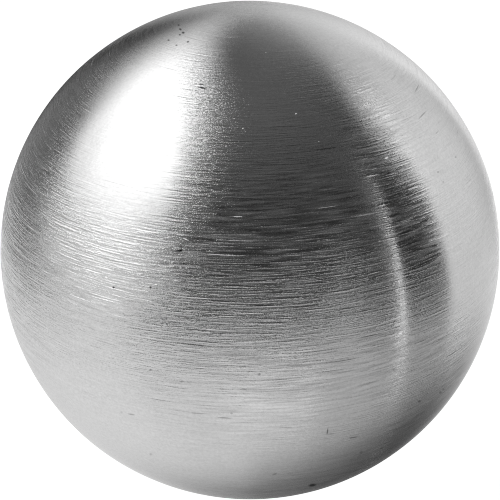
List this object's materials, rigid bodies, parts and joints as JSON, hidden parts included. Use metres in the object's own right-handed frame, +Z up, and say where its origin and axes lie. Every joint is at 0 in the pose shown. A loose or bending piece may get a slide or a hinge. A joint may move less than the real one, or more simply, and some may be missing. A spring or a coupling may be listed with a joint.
{
  "type": "hollow ball",
  "caption": "Sealed thin-walled steel ball, hollow inside, ground to a fine level grain all round; a finial, gate or handrail end, float or decorative ball set in a ring or welded on.",
  "frame": {"origin": "centre of the ball", "axes": "+Z up, along the axis that the grinding lines circle; +X and +Y level, and alike because the ball is round"},
  "size_m": [0.06, 0.06, 0.06],
  "materials": {
    "ground_steel": "ground with about 240 grit, fine lines running level round the ball, satin shine"
  },
  "bodies": {
    "root": {"ball_shell": "ground_steel"}
  },
  "joints": []
}
